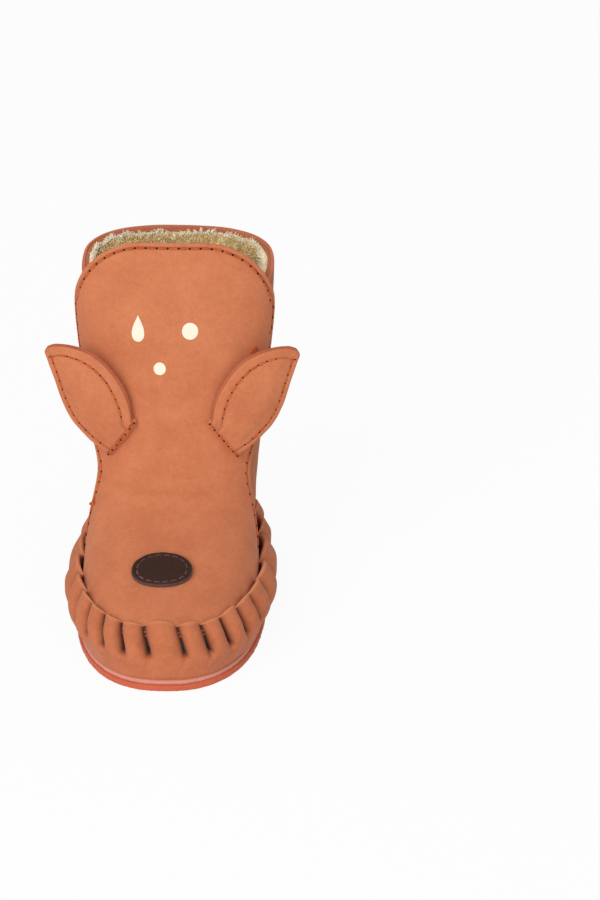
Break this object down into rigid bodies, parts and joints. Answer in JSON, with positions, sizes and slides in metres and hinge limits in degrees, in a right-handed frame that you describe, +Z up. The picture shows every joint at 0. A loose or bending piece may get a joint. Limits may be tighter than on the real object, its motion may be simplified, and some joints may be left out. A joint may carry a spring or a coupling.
{
  "type": "baby bootie",
  "caption": "Soft leather baby bootie with a gathered toe, padded oval nose, hinged face flap, standing leaf ears and a pile lining.",
  "frame": {"origin": "middle of the outsole's ground face, halfway from toe to heel", "axes": "+Z up; -Y towards the toe; +X towards the inner (medial) side of the wearer's right foot; rest pose is the bootie standing flat, flap closed"},
  "size_m": [0.0766, 0.1143, 0.1165],
  "materials": {
    "sole_leather": "rough cut edge, suede ground face",
    "welt_leather": "matte, natural edge",
    "apron_leather": "soft grained, semi-matte",
    "panel_leather": "soft grained, semi-matte",
    "quarter_leather": "soft grained, semi-matte",
    "facing_leather": "matte",
    "ear_leather": "soft grained, semi-matte",
    "nose_leather": "semi-gloss, waxed",
    "nose_padding": "wadding",
    "nose_thread": "waxed thread",
    "thread": "waxed thread",
    "pile_lining": "long soft pile",
    "insole_foam": "felted pad",
    "hook_tape": "woven tape with stiff hooks",
    "loop_tape": "woven tape with soft loops",
    "spot_print": "smooth flat transfer"
  },
  "bodies": {
    "bootie": {"outsole": "sole_leather", "midsole": "welt_leather", "gathered_apron": "apron_leather", "vamp_panel": "panel_leather", "ankle_quarter": "quarter_leather", "medial_wing": "quarter_leather", "medial_wing_lining": "pile_lining", "rim_facing": "facing_leather", "quarter_lining": "pile_lining", "vamp_lining": "pile_lining", "insole_foam": "insole_foam", "insole_pile": "pile_lining", "loop_patch": "loop_tape", "nose_padding": "nose_padding", "nose_patch": "nose_leather", "nose_stitching": "nose_thread", "medial_ear_tuck": "ear_leather", "vamp_stitching": "thread", "bar_tacks": "thread", "gather_stitching": "thread"},
    "face": {"face_flap": "panel_leather", "face_lining": "pile_lining", "hook_patch": "hook_tape", "teardrop_spot": "spot_print", "large_round_spot": "spot_print", "small_round_spot": "spot_print", "lateral_ear_tuck": "ear_leather", "face_stitching": "thread"},
    "lateral_ear": {"lateral_ear_front": "ear_leather", "lateral_ear_back": "ear_leather", "lateral_ear_stitching": "thread"},
    "medial_ear": {"medial_ear_front": "ear_leather", "medial_ear_back": "ear_leather", "medial_ear_stitching": "thread"}
  },
  "joints": [
    {"name": "face_flap_fold", "type": "hinge", "parent": "bootie", "child": "face", "pos_m": [0.001, 0.00525, 0.0592], "axis": [0.7553, 0.0909, 0.649], "range_deg": [0, 50], "deforming": ["medial_wing", "medial_wing_lining"]},
    {"name": "lateral_ear_bend", "type": "hinge", "parent": "face", "child": "lateral_ear", "pos_m": [-0.01665, 0.00664, 0.05514], "axis": [0.5822, -0.0939, 0.8076], "range_deg": [0, 60], "stiffness_Nm_per_rad": 0.006},
    {"name": "medial_ear_bend", "type": "hinge", "parent": "bootie", "child": "medial_ear", "pos_m": [0.01665, 0.00664, 0.05514], "axis": [0.5822, 0.0939, -0.8076], "range_deg": [0, 60], "stiffness_Nm_per_rad": 0.006}
  ]
}
